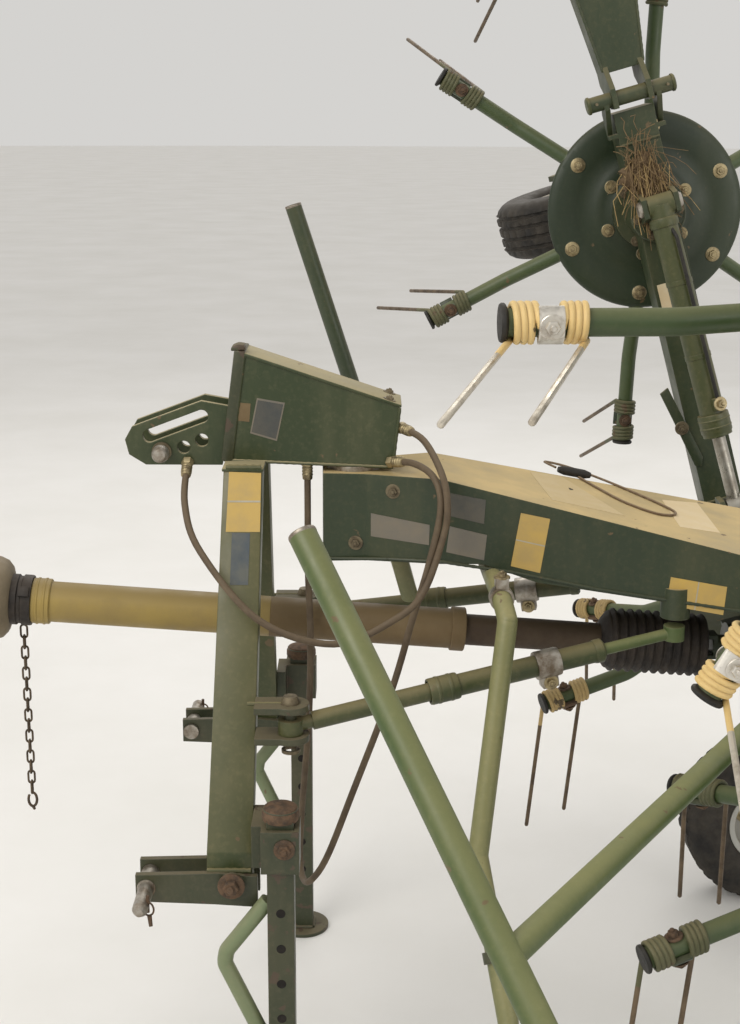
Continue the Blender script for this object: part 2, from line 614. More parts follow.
make_hose("hose_front", HOSE_FRONT)
make_hose("hose_back", HOSE_BACK)


def make_beam_cord():
    flat = [Vector((x, y, 0)) for x, y in BEAM_CORD]
    path = [MACHINE @ mm(q.x, q.y, on_beam(q.x) + CORD_D*500 + 0.6) for q in route(flat, ROUTE_STEPS)]
    cord = Shape().sweep(path, CORD_D/2, 10)
    cord = cord.piece("beam_cord_soft", "frame", ["cord"], "cord_fibre", ["beam_cord"])
    end = Shape()
    for i in range(3):
        centre = path[-1] + Vector((0.0024*(i - 1), 0.0012*(i - 1), 0.0006))
        ring = [centre + Vector((0.0016*math.sin(a), 0.0042*math.cos(a), 0.0028*math.sin(a + 0.6*i)))
                for a in [math.tau*k/14 for k in range(14)]]
        end.sweep(ring, CORD_D/2, 8, closed=True)
    end = end.piece("beam_cord_knot", "frame", ["cord"], "cord_fibre")


make_beam_cord()


# Rotors: a dished disc on its hub, smooth bent arms with their caps, and the bolts that hold them
BORE_R = 0.0303
ARM_Z = DISC_UP - ARM_D/2 + 0.002
DISC_PROFILE = [(BORE_R, 0.02), (BORE_R, 0.086), (0.066, 0.086), (0.07, 0.083), (0.084, 0.072),
                (0.11, 0.0705), (0.128, 0.0695), (0.134, 0.0655), (0.172, 0.0645), (0.18, 0.0665),
                (0.218, 0.064), (0.234, 0.061), (0.2385, 0.057), (0.24, 0.052), (0.2352, 0.052),
                (0.23, 0.055), (0.218, 0.058), (0.09, 0.06), (0.09, 0.02)]
ARM_BENDS = ((0.06, ARM_Z), (0.225, ARM_Z), (0.375, 0), (ARM_REACH, 0))
BEND_R = 0.11
OUTER_BOLT, INNER_BOLT = 0.202, 0.105


def make_rotor(side, rank):
    name = label(side, rank)
    path = rounded([(x, 0, z) for x, z in ARM_BENDS], BEND_R, 7)
    shape = Shape().lathe(DISC_PROFILE, 96, at_rotor(side, rank), 0, closed=True)
    for i in range(6):
        arm = at_arm(side, rank, i)
        shape.sweep(path, ARM_D/2, 20, arm, 1)
        cap = arm @ shift(ARM_REACH - 0.005, 0, 0) @ turn(90, "Y")
        shape.lathe([(0.018, -0.004), (0.0225, -0.002), (0.0248, 0), (0.025, 0.0035), (0.0236, 0.0056),
                     (0, 0.006)], 28, cap, 2)
        for r, z, across in ((OUTER_BOLT, 0.0652, 0.019), (INNER_BOLT, 0.0705, 0.017)):
            shape.bolt(arm @ shift(r, 0, z), across, 0.009, 3)
        shape.bolt(arm @ shift(OUTER_BOLT, 0, ARM_Z - ARM_D/2) @ turn(180, "X"), 0.019, 0.01, 3)
        shape.block((0.176, -0.024, ARM_Z + 0.01), (0.232, 0.024, ARM_Z + 0.0175), arm, 0, 0.0015)
    shape.piece("rotor_" + name + "_smooth", "rotor_" + name, ["disc", "arm", "cap", "zinc"],
                replaces=["rotor_" + name])


# Spring tines: one wire for each double tine, wound up the arm from both prongs to the clamp
TINE_L = 2*COIL_TURNS*WIRE + CLAMP_L
TINE_START = ARM_REACH - 0.0053 - TINE_L
TINE_MIDDLE = TINE_START + TINE_L/2
COIL_R = ARM_D/2 + 0.0005 + WIRE/2
COIL_START, COIL_PITCH = TINE_START + 0.0072, WIRE*0.91605
WOUND_TURNS, TURN_STEPS = 3.75, 16
PRONG_MARKS = (0, 0.01, 0.3, 0.6, 0.8, 0.875, 0.93, 0.97)
BARE_MARKS = 5
CLAMP_OUTER, CLAMP_INNER, CLAMP_HALF_ANGLE = 0.0292, 0.0186, 58
COATS_OF_TINES = {(-1, 1): ("cream", "prong", "bright"), (1, 0): ("cream_dusty", "prong_dull", "rust")}


def tine_wire():
    """Centre line of a double tine from prong end to prong end, and which of its points carry the coat."""
    trail, slope = math.radians(PRONG_TRAIL), math.radians(PRONG_SLOPE)
    down = Vector((math.sin(slope), -math.cos(slope)*math.sin(trail), -math.cos(slope)*math.cos(trail)))
    down.normalize()
    halves = []
    for mirrored, reach in ((False, PRONG_L - PRONG_STEP), (True, PRONG_L)):
        def across(x):
            return 2*TINE_MIDDLE - x if mirrored else x

        root = Vector((across(COIL_START), -COIL_R, 0))
        half = [root + down*(reach*(1 - t)) for t in PRONG_MARKS]
        for k in range(int(WOUND_TURNS*TURN_STEPS) + 1):
            a = math.tau*k/TURN_STEPS
            half.append(Vector((across(COIL_START + COIL_PITCH*k/TURN_STEPS), -COIL_R*math.cos(a),
                                COIL_R*math.sin(a))))
        halves.append(half)
    coated = [i >= BARE_MARKS for i in range(len(halves[0]))]
    return halves[0] + halves[1][::-1], coated + coated[::-1]


WIRE_PATH, WIRE_COATED = tine_wire()


def tine_clamp(shape, arm):
    """A saddle over the wire with its bolt through the arm."""
    middle = arm @ shift(TINE_MIDDLE, 0, 0)
    angles = [math.radians(CLAMP_HALF_ANGLE*(i/6 - 1)) for i in range(13)]
    arc = [(CLAMP_OUTER*math.cos(a), CLAMP_OUTER*math.sin(a)) for a in angles]
    arc += [(CLAMP_INNER*math.cos(a), CLAMP_INNER*math.sin(a)) for a in angles[::-1]]
    shape.prism(arc, -CLAMP_L/2 + 0.002, CLAMP_L/2 - 0.002, middle @ turn(90, "Y"), 2, 0.001)
    shape.bolt(middle @ shift(0, 0, -0.0285) @ turn(180, "X"), 0.017, 0.009, 3)
    shape.bolt(middle @ shift(0, 0, 0.0178), 0.017, 0.011, 3)


def make_tines(side, rank):
    name = label(side, rank)
    coil, prong, clamp = COATS_OF_TINES.get((side, rank), ("olive", "prong_dull", "disc"))
    bolts = "bright" if clamp == "bright" else "rust"
    shape = Shape()
    coats = [0 if c else 1 for c in WIRE_COATED]
    radii = [WIRE/2]*len(WIRE_PATH)
    radii[0] = radii[-1] = WIRE*0.3
    for i in range(6):
        arm = at_arm(side, rank, i)
        shape.sweep(WIRE_PATH, radii, 9, arm, coats)
        tine_clamp(shape, arm)
    shape.piece("tines_" + name + "_wire", "rotor_" + name, [coil, prong, clamp, bolts], "tine_wire",
                ["tines_" + name])


# Wheels: ribbed tyres, and bolts, hub cap and valve on the rims
TREAD_RIBS = (-0.044, -0.018, 0.011, 0.037)
WHEEL_BOLTS, WHEEL_BOLT_R, VALVE_R = 5, 0.056, 0.083


def tyre_profile():
    half, r, bead = TYRE_W/2, TYRE_D/2, RIM_D/2
    outer = [(bead + 0.0003, -half + 0.018), (bead + 0.009, -half + 0.006), (bead + 0.026, -half),
             (r - 0.06, -half + 0.0005), (r - 0.052, -half + 0.0015), (r - 0.034, -half + 0.0008),
             (r - 0.022, -half + 0.006), (r - 0.01, -half + 0.016), (r - 0.004, -half + 0.028)]
    tread = []
    for edge in TREAD_RIBS:
        tread += [(r - 0.0008, edge - 0.004), (r - 0.0075, edge - 0.002), (r - 0.0075, edge + 0.005),
                  (r - 0.0002, edge + 0.007)]
    return outer + tread + [(a, -b) for a, b in outer[::-1]]


def tread_cut(k, r, z):
    """Small slots across the ribs."""
    if r < TYRE_D/2 - 0.005 or abs(z) > 0.05:
        return r
    return r - (0.0045 if (k + int(z*90)) % 4 == 0 else 0)


def make_wheel(side, rank):
    name = label(side, rank)
    fall = AXLE_DROP if rank == 0 else WING_DROP
    place = at_rotor(side, rank) @ shift(-WHEEL_LEAD, 0, -fall) @ turn(90, "X")
    tyre = Shape().lathe(tyre_profile(), 144, place, 0, closed=True, shape=tread_cut)
    tyre.piece("tyre_" + name + "_ribbed", "wheel_" + name, ["tyre"], "tyre_rubber", ["tyre_" + name],
               sharp=50)
    trim = Shape()
    for back, proud in ((0, 0.004), (180, 0.008)):
        front = place @ turn(back, "X") @ shift(0, 0, proud)
        for i in range(WHEEL_BOLTS):
            trim.bolt(front @ turn(360/WHEEL_BOLTS*i + 18, "Z") @ shift(WHEEL_BOLT_R, 0, 0), 0.017, 0.008, 0)
    trim.lathe([(0.0158, 0.0425), (0.0285, 0.0425), (0.0285, 0.046), (0.0262, 0.049), (0.0158, 0.05)], 28,
               place, 1)
    trim.sweep([(VALVE_R, 0, 0.002), (VALVE_R, 0, 0.02), (VALVE_R + 0.003, 0, 0.032)], [0.004, 0.0035, 0.003],
               10, place, 2)
    trim.piece("wheel_trim_" + name, "wheel_" + name, ["zinc", "rust", "black"], "steel")


for _side in (-1, 1):
    for _rank in range(3):
        make_rotor(_side, _rank)
        make_tines(_side, _rank)
        make_wheel(_side, _rank)


# Propeller shaft: telescoping guard tubes, bellows over the joint, and the cup at the tractor's end
PTO_JOINT = MACHINE @ mm(690, 0, 852)
PTO_FRONT = MACHINE @ mm(-640, 0, 958)
PTO_L = (PTO_FRONT - PTO_JOINT).length
PTO = along(PTO_JOINT, PTO_FRONT - PTO_JOINT)
SHAFT_R = 0.0187
GUARD_LIP = (0.0015, 0.0015)
BELLOWS_LOW, BELLOWS_R, RIB, RIB_DEEP, RIB_COUNT, RIB_STEPS = -0.01, 0.0605, 0.018, 0.0034, 11, 6
# low, high, radius, wall, coat
GUARD_SLEEVES = ((0.86, PTO_L - 0.004, 0.04, 0.004, 0), (0.48, 0.862, 0.0398, 0.004, 1),
                 (0.472, 0.5, 0.044, 0.01, 1), (0.18, 0.5, 0.031, 0.004, 2),
                 (PTO_L - 0.042, PTO_L - 0.006, 0.0448, 0.006, 0),
                 (PTO_L - 0.034, PTO_L - 0.028, 0.0462, 0.003, 0),
                 (PTO_L - 0.02, PTO_L - 0.014, 0.0462, 0.003, 0))
# Outlines of the collar and the cup, with heights from the shaft's front
COLLAR = [(SHAFT_R, -0.006), (0.049, -0.006), (0.05, -0.003), (0.05, 0.012), (0.047, 0.014), (0.047, 0.02),
          (0.05, 0.022), (0.05, 0.036), (SHAFT_R, 0.036)]
CUP = [(SHAFT_R, 0.034), (0.052, 0.034), (0.066, 0.038), (0.0765, 0.047), (0.0825, 0.062), (0.084, 0.082),
       (0.084, 0.104), (0.0822, 0.122), (0.0785, 0.13), (0.0755, 0.128), (0.075, 0.064), (0.06, 0.06),
       (SHAFT_R, 0.06)]


def cup_rib(k, r, z):
    return r - (0.0016 if k % 8 == 0 and r > 0.06 else 0)


def make_pto():
    shape = Shape()
    for low, high, radius, wall, coat in GUARD_SLEEVES:
        shape.ring(radius - wall, radius, low, high, PTO, coat, 56, GUARD_LIP)
    ridges = [(0.052, BELLOWS_LOW)]
    for i in range(RIB_COUNT*RIB_STEPS):
        ridges.append((BELLOWS_R + RIB_DEEP*math.cos(math.tau*(i/RIB_STEPS - 0.25)),
                       BELLOWS_LOW + RIB*i/RIB_STEPS))
    ridges += [(0.056, 0.187), (0.044, 0.196), (0.036, 0.2), (0.031, 0.2), (0.034, 0.19), (0.052, 0.18)]
    shape.lathe(ridges, 56, PTO, 3, closed=True)
    front = PTO @ shift(0, 0, PTO_L)
    shape.lathe(COLLAR, 48, front, 4, closed=True)
    shape.lathe(CUP, 64, front, 5, closed=True, shape=cup_rib)
    for angle in (35, 215):
        clip = front @ shift(0, 0, 0.006) @ turn(angle, "Z")
        shape.block((0.048, -0.01, -0.009), (0.0545, 0.01, 0.011), clip, 4, 0.0012)
    shape.piece("pto_guard_detail", "pto", ["yellow", "brown", "inner", "black", "black", "cup"],
                "guard_plastic", ["pto_guard"])


CHAIN_TOP = MACHINE @ mm(-655, 0, 907.6)
LINK_COUNT, LINK_PITCH, FIRST_LINK = 16, 0.0222, 0.014
LINK_HALF, LINK_R, LINK_WIRE = 0.0072, 0.0064, 0.0022


def make_chain():
    """Oval links with their long way up, each turned by a quarter from the last, and a hook below them."""
    shape = Shape()
    for i in range(LINK_COUNT):
        centre = CHAIN_TOP - Vector((0, 0, FIRST_LINK + i*LINK_PITCH))
        ring = []
        for sign in (1, -1):
            for a in [math.pi*k/8 for k in range(9)]:
                x, z = sign*LINK_R*math.cos(a), sign*(LINK_HALF + LINK_R*math.sin(a))
                ring.append(centre + (Vector((0, x, z)) if i % 2 else Vector((x, 0, z))))
        shape.sweep(ring, LINK_WIRE, 8, closed=True)
    low = CHAIN_TOP - Vector((0, 0, FIRST_LINK + (LINK_COUNT - 0.4)*LINK_PITCH))
    angles = [math.tau*k/22 for k in range(20)]
    shape.sweep([low + Vector((0.0085*math.sin(a), 0, 0.015*math.cos(a) - 0.014)) for a in angles], 0.0028, 8)
    shape.sweep([low + Vector((0, 0, -0.029)), low + Vector((0.003, 0, -0.036))], [0.0036, 0.0028], 8)
    shape.piece("pto_chain_links", "pto", ["chain"], "chain_steel", ["pto_chain"])


make_pto()
make_chain()


# Blank plates and patches on the beam, in millimetres: coat and corners
BEAM_PLATES = (
    (0, [(28.9, -75, 1150), (139, -113.5, 1136), (138, -113, 1096.5), (29, -75, 1104.6)]),
    (0, [(176, -123, 1136), (245.5, -136, 1121.6), (241, -135, 1072), (170, -122, 1085)]),
    (1, [(175, -123, 1200.5), (242, -135, 1189.5), (239.5, -134.6, 1143), (176, -123, 1156)]),
    (2, [(307, -147, 1167), (361, -156, 1157.5), (345.5, -153.6, 1051.5), (291, -144, 1063)]),
    (2, [(585, -196.5, 1054.6), (687, -215, 1040), (683, -214, 985), (579, -195, 999.5)]))
TOP_PATCHES = ((4, [(639, 143), (724.5, 192), (709, -61.5), (624, -86)]),
               (5, [(362.5, 137), (429, 164), (515, -93), (374, -90)]))


def make_beam_plates():
    """Plates on the near side, patches on top, and a line over the middle of each yellow plate."""
    shape = Shape()
    near = (0.15, -1, 0)
    for coat, corners in BEAM_PLATES:
        shape.plate(corners, near, coat, frame=MACHINE)
    for coat, corners in BEAM_PLATES[3:]:
        pts = [Vector(c) for c in corners]
        wide = (pts[1] - pts[0]).length > (pts[2] - pts[1]).length
        p, q, r, s = [pts[i] for i in ((0, 1, 3, 2) if wide else (0, 3, 1, 2))]
        line = [p.lerp(q, 0.49), r.lerp(s, 0.49), r.lerp(s, 0.51), p.lerp(q, 0.51)]
        shape.plate(line, near, 3, proud=0.0012, frame=MACHINE)
    for coat, outline in TOP_PATCHES:
        corners = [(x, y, on_beam(x)) for x, y in outline]
        shape.plate(corners, (0, 0, 1), coat, proud=0.0006, frame=MACHINE)
    shape.piece("beam_blank_plates", "frame",
                ["sign_grey", "sign_dark", "sign_yellow", "line", "patch_pale", "patch_tan"])


# The beam's half width and its lower edge along its length, in millimetres
BEAM_HALF = ([-62, 20, 158, 828, 960], [62, 72, 120, 240, 262])
BEAM_LOW_EDGE = ([-62, 239, 342, 708, 960], [1052, 1064, 1032, 990, 962])
WELD_ENDS = (-58, 60, 158, 300, 450, 600, 750, 900)


def at(table, x):
    """The value at x, between the points of a table of places and values."""
    return float(np.interp(x, *table))


def beam_side(x):
    return at(BEAM_HALF, x)


def make_beam_trim():
    """Weld beads along the beam's edges, bolts, the small toggle of the pull cord and its hole."""
    shape = Shape()
    for side in (-1, 1):
        for n, ends in enumerate(zip(WELD_ENDS, WELD_ENDS[1:])):
            a, b = [mm(x, side*(beam_side(x) + 0.4), at(BEAM_LOW_EDGE, x) + 5) for x in ends]
            shape.weld(a, b, 0.0028, MACHINE, 0, n)
        for x, z in ((70, 1196), (0, 1090)):
            face = along(MACHINE @ mm(x, side*beam_side(x), z), Vector((-0.17, side, 0)))
            shape.bolt(face, 0.015, 0.008, 1)
        for x in (872, 930):
            saddle = along(MACHINE @ mm(x, side*234, 815), Vector((0, side, 0)))
            shape.bolt(saddle, 0.024, 0.013, 1)
    toggle = [mm(x, y, on_beam(x) + 10) for x, y in ((427, 180), (440, 182), (483, 188), (496, 190))]
    shape.sweep(toggle, [0.006, 0.0095, 0.0095, 0.006], 14, MACHINE, 2)
    hole = along(MACHINE @ mm(429, 50, on_beam(429)), Vector((0.22, 0, 1)))
    shape.lathe([(0, -0.001), (0.009, -0.001), (0.009, 0.0006), (0, 0.0006)], 20, hole, 3)
    shape.piece("beam_trim", "frame", ["disc", "dull_bolt", "cap", "dark"])


make_beam_plates()
make_beam_trim()


# Headstock: blank plates, lips of the box, pins, bolts, welds
LEG_OUTER = ([520, 600, 1240, 1300], [398.7, 398.7, 118.3, 100.3])
LEG_INNER = ([600, 1246], [349.3, 50.3])
LEG_FRONT, LEG_BACK = ([514, 1302], [-264, -243]), ([514, 1246], [-180, -172])
LEG_LEVELS = (520, 600, 1243)
LEG_SIGNS = ((0, ((-234, 1240), (-174, 1238), (-174.5, 1136), (-238, 1136)), 0.2, 0.0009),
             (1, ((-226.5, 1134), (-193, 1134), (-195, 1045), (-228.5, 1045)), 0.2, 0.0009),
             (3, ((-236, 1190), (-174.3, 1190), (-174.3, 1187), (-236, 1187)), 0.3, 0.0013))
BOX_SIGN = [(-185, -50, 1368), (-132, -50, 1359), (-148, -50, 1285), (-199, -50, 1300)]
BOX_MARK = [(-228, -50, 1360), (-197, -50, 1357), (-200, -50, 1322), (-231, -50, 1325)]
# The box's front lip, its lid and the knob on it: outline in x and z, its two sides, coat and bevel
BOX_TRIM = (
    ([(-0.2265, 1.4585), (-0.206, 1.457), (-0.234, 1.246), (-0.2545, 1.2465)], -0.054, 0.054, 0, 0.002),
    ([(-0.223, 1.453), (0.0885, 1.3505), (0.0895, 1.356), (-0.221, 1.459)], -0.0535, 0.0535, 1, 0.0015),
    ([(-0.233, 1.457), (-0.205, 1.46), (-0.206, 1.468), (-0.22, 1.47), (-0.232, 1.465)],
     0.014, 0.054, 0, 0.003))
# Ends of the box's weld beads in x and z, with their seeds
BOX_WELDS = (((-0.25, 1.2475), (0.074, 1.2345), 3), ((-0.2345, 1.249), (-0.207, 1.453), 4),
             ((0.0735, 1.237), (0.086, 1.35), 5))
DAMPER_FRONT, DAMPER_REAR, DAMPER_SIDES = (-0.112, 0.818), (0.6, 0.94), (0.33, 0.18)


def leg_y(z):
    return at(LEG_OUTER, z)


def make_headstock_plates():
    shape = Shape()
    for coat, outline, clear, proud in LEG_SIGNS:
        corners = [(x, -leg_y(z) - clear, z) for x, z in outline]
        shape.plate(corners, (0, -1, 0.4), coat, proud=proud, frame=HEAD)
    box_side = (0, -1, 0)
    shape.plate(BOX_SIGN, box_side, 4, proud=0.0006, frame=HEAD)
    centre = sum((Vector(c) for c in BOX_SIGN), Vector())/4
    shape.plate([centre.lerp(Vector(c), 0.9) for c in BOX_SIGN], box_side, 2, proud=0.0011, frame=HEAD)
    shape.plate(BOX_MARK, box_side, 5, frame=HEAD)
    shape.piece("headstock_blank_plates", "headstock",
                ["sign_yellow", "sign_blue", "sign_dark", "line", "sign_grey", "brown"])


def make_headstock_trim():
    trim = Shape()
    upright = HEAD @ turn(90, "X")
    for outline, low, high, coat, bevel in BOX_TRIM:
        trim.prism(outline, low, high, upright, coat, bevel)
    for side in (-1, 1):
        trim.bolt(HEAD @ shift(0.066, side*0.038, 1.363) @ turn(18, "Y"), 0.013, 0.007, 3)
    for side in (-1, 1):
        for a, b, seed in BOX_WELDS:
            trim.weld((a[0], side*0.0503, a[1]), (b[0], side*0.0503, b[1]), 0.0026, HEAD, 1, seed)
        for x0, x1, z, y in ((-0.24, -0.174, 1.2485, leg_y(1246)), (-0.262, -0.182, 0.566, leg_y(566))):
            y = side*(y + 0.5)*0.001
            trim.weld((x0, y, z), (x1, y, z), 0.0045, HEAD, 2, 7)
        trim.bolt(HEAD @ shift(-0.216, side*0.4265, 0.549) @ turn(-90*side, "X"), 0.026, 0.014, 5)
        linch = HEAD @ shift(-0.359, side*0.478, 0.545)
        ring = [Vector((0.011*math.cos(a), side*0.004*math.cos(a), -0.013 + 0.013*math.sin(a)))
                for a in [math.tau*k/20 for k in range(20)]]
        trim.sweep(ring, 0.0018, 8, linch, 5, closed=True)
        trim.sweep([(0.003, side*0.004, -0.024), (0.006, side*0.01, -0.042)], [0.0042, 0.0034], 10, linch, 5)
        trim.sweep([(0, 0, 0.012), (0, 0, -0.02)], 0.0032, 10, linch, 5)
        trim.weld((-0.19, side*0.33, 0.86), (-0.11, side*0.33, 0.86), 0.0035, HEAD, 2, 9)
    pin = HEAD @ shift(-0.369, -0.041, 1.262) @ turn(90, "X")
    trim.lathe([(0, -0.04), (0.0125, -0.04), (0.0125, 0.016), (0.0165, 0.017), (0.0165, 0.028),
                (0.015, 0.036), (0.0105, 0.0415), (0, 0.043)], 28, pin, 4)
    trim.ring(0.0125, 0.019, 0.002, 0.006, pin, 3, 24)
    trim.lathe([(0, -0.072), (0.0125, -0.072), (0.0125, -0.04), (0, -0.04)], 24, pin, 3)
    for side in (-1, 1):
        trim.bolt(HEAD @ shift(-0.118, side*0.466, 0.64) @ turn(-90*side, "X"), 0.02, 0.01, 5)
        pivot = HEAD @ shift(DAMPER_FRONT[0], side*DAMPER_SIDES[0], 0.862)
        trim.lathe([(0, 0), (0.017, 0), (0.017, 0.003), (0.0135, 0.0115), (0.0125, 0.0135), (0, 0.014)], 24,
                   pivot, 3)
        trim.ring(0.0115, 0.017, -0.094, -0.088, pivot, 3, 24)
    trim.piece("headstock_trim", "headstock", ["hitch", "head", "leg", "dull_bolt", "steel", "rust"])


make_headstock_plates()
make_headstock_trim()


# Headstock legs, whose heads end in a plate under the box
def make_tower_legs():
    shape = Shape()
    for side in (-1, 1):
        verts, faces = [], []
        for z in LEG_LEVELS:
            y0, y1 = side*at(LEG_INNER, z), side*at(LEG_OUTER, z)
            x0, x1 = at(LEG_FRONT, z), at(LEG_BACK, z)
            verts += [mm(x0, y0, z), mm(x1, y0, z), mm(x1, y1, z), mm(x0, y1, z)]
        for low in (0, 4):
            faces += [(low + k, low + (k + 1) % 4, low + 4 + (k + 1) % 4, low + 4 + k) for k in range(4)]
        faces += [(3, 2, 1, 0), (8, 9, 10, 11)]
        shape.bevelled(verts, faces, HEAD, 0, 0.0025)
        near, far = sorted((side*0.036, side*0.1205))
        shape.block((-0.2475, near, 1.2405), (-0.1695, far, 1.2465), HEAD, 1, 0.0015)
    shape.piece("tower_legs_smooth", "headstock", ["leg", "head"], replaces=["tower_legs"])


make_tower_legs()


# Parking stands: the bent bow, the rusty knob and the holes of the leg
STAND_X, STAND_Y = -0.126, 0.43
BOW = [(-24, 524), (-100, 424), (-104, 400), (-42, 262), (-24, 250)]
BOW_R, BOW_BEND = 0.0146, 0.026
STAND_HOLES = (0.16, 0.23, 0.3, 0.37, 0.44, 0.51)


def make_stand(side):
    place = HEAD @ shift(STAND_X, side*STAND_Y, 0)
    shape = Shape().sweep(rounded([mm(x, 0, z) for x, z in BOW], BOW_BEND, 5), BOW_R, 16, place, 0)
    shape.lathe([(0, 0.683), (0.0318, 0.683), (0.0335, 0.688), (0.033, 0.698), (0.0285, 0.7065),
                 (0.017, 0.7115), (0, 0.713)], 36, place, 1)
    for y in (-1, 1):
        for z in STAND_HOLES:
            hole = place @ shift(0, y*0.024, z) @ turn(-90*y, "X")
            shape.lathe([(0, -0.001), (0.0085, -0.001), (0.0085, 0.0005), (0, 0.0005)], 20, hole, 2)
    for angle in range(0, 360, 90):
        edge = place @ turn(angle, "Z")
        shape.weld((-0.023, -0.025, 0.01), (0.023, -0.025, 0.01), 0.0035, edge, 3, angle + 1)
    shape.piece("stand_detail_" + side_name(side), "stand_" + side_name(side),
                ["bow", "rust", "dark", "hitch"])


for _side in (-1, 1):
    make_stand(_side)


# Dampers: pivots, glands and the clamped block on each
def make_damper(side):
    (front_x, front_z), (rear_x, rear_z), (front_y, rear_y) = DAMPER_FRONT, DAMPER_REAR, DAMPER_SIDES
    front = HEAD @ Vector((front_x, side*front_y, front_z))
    rear = MACHINE @ Vector((rear_x, side*rear_y, rear_z))
    place = along(front, rear - front)
    shape = Shape().ring(0.0205, 0.025, 0.262, 0.318, place, 0, 40, (0.001, 0.004))
    for s in (0.276, 0.3):
        shape.lathe([(0.0245, s), (0.0258, s + 0.001), (0.0258, s + 0.005), (0.0245, s + 0.006)], 40, place)
    shape.ring(0.02, 0.027, 0.47, 0.516, place, 1, 40, (0.0008, 0.004))
    down = place.to_3x3().inverted() @ Vector((0, 0, -1))
    lug = place @ shift(0, 0, 0.493) @ turn(math.degrees(math.atan2(down.y, down.x)), "Z")
    shape.block((0.02, -0.013, -0.016), (0.045, 0.013, 0.016), lug, 1, 0.002)
    for y in (1, -1):
        shape.bolt(lug @ shift(0.034, y*0.012, 0) @ turn(-90*y, "X"), 0.015, 0.008, 2)
    shape.lathe([(0.0118, 0.586), (0.0215, 0.586), (0.0225, 0.59), (0.0225, 0.602), (0.018, 0.606),
                 (0.0118, 0.606)], 36, place, 0, closed=True)
    shape.piece("damper_gland_" + side_name(side), "damper_barrel_" + side_name(side),
                ["leg", "steel", "zinc"])


for _side in (-1, 1):
    make_damper(_side)


# Guards and carriers, in millimetres: ends of the guard tubes, then corners and bend of each carrier
GUARD_ENDS = (((-100, -850, 1320), (227, -1332, 742)), ((-125, 1100, 1657), (125, 1100, 890)))
CARRIERS = (([(259, -20, 1039), (259, -275, 1039), (266, -312, 1010), (206, -450, 618), (247, -600, 382),
              (252, -640, 322)], 30), ([(85, 114, 1130), (85, 114, 1040), (123, 200, 898)], 40))
CARRIER_R = 0.0184
GUARD_RIM = [(0.0178, -0.001), (0.0208, -0.0012), (0.0214, 0.0006), (0.0213, 0.004), (0.0208, 0.005),
             (0.0178, 0.005)]
GUARD_PLUG = [(0, -0.002), (0.0222, -0.002), (0.0222, 0.004), (0.018, 0.01), (0, 0.012)]


def make_guards():
    shape = Shape()
    for top, low in GUARD_ENDS:
        a, b = MACHINE @ mm(*top), MACHINE @ mm(*low)
        shape.lathe(GUARD_RIM, 40, along(a, b - a), 0, closed=True)
        shape.lathe(GUARD_PLUG, 40, along(b, b - a), 1)
    for corners, bend in CARRIERS:
        shape.sweep(rounded([mm(*p) for p in corners], bend*0.001, 7), CARRIER_R, 20, MACHINE, 2)
    for y in (-262, -275):
        shape.ring(0.018, 0.0225, -0.005, 0.005, along(MACHINE @ mm(259, y, 1039), Vector((0, 1, 0))), 0, 36)
    lug = MACHINE @ shift(0.259, -0.2685, 1.063)
    shape.block((-0.012, -0.014, -0.004), (0.012, 0.014, 0.016), lug, 0, 0.002)
    shape.bolt(lug @ shift(0, 0, 0.015), 0.016, 0.009, 3)
    shape.ring(CARRIER_R, 0.0235, -0.01, 0.01, along(MACHINE @ mm(231, -543, 472), mm(41, -150, -236)), 4, 36)
    shape.piece("guard_detail", "frame", ["steel", "cap", "carrier", "zinc", "hitch"])


make_guards()


# Frame and wings: gearbox bolts, hinge ends, catches with their springs, plates and lift cylinder glands
BOLT_ANGLES = (50, 75, 105, 130, 230, 255, 285, 310)
LIFT_PIN, LIFT_EYE = (1.75, 0.25), (0.66, 0.272)
OUTER_HINGE_Y, CATCH_BOLT, SPRING_Z = 2.01, (-0.062, 1.205), 0.2055
SPRING_ENDS = ((0.006, 1.33), (0.024, 1.165))
CATCH = [(-0.094, 1.302), (-0.072, 1.312), (-0.028, 1.12), (-0.036, 1.098), (-0.052, 1.104), (-0.078, 1.23)]
WING_SIGN = [(-40, 1560, 197), (14, 1560, 197), (14, 1452, 197), (-40, 1452, 197)]


def gearbox_top(shape, base):
    for angle in BOLT_ANGLES:
        shape.bolt(base @ turn(angle, "Z") @ shift(0.078, 0, 0.115), 0.013, 0.008, 0)
    for angle in range(0, 360, 60):
        shape.bolt(base @ turn(angle, "Z") @ shift(0.05, 0, 0.211), 0.013, 0.008, 0)
    shape.lathe([(0, 0.2105), (0.03, 0.2105), (0.03, 0.214), (0.026, 0.219), (0, 0.22)], 32, base, 1)
    shape.lathe([(0.0605, 0.204), (0.066, 0.204), (0.066, 0.2095), (0.064, 0.2115), (0.0605, 0.2115)], 48,
                base, 1, closed=True)


def spring(shape, a, b, radius, wire, turns, place, coat, steps=12):
    a, b = Vector(a), Vector(b)
    axis = along(a, b - a)
    path = [axis @ Vector((radius*math.cos(math.tau*i/steps), radius*math.sin(math.tau*i/steps),
                           (b - a).length*i/steps/turns)) for i in range(steps*turns + 1)]
    shape.sweep(path, wire, 7, place, coat)


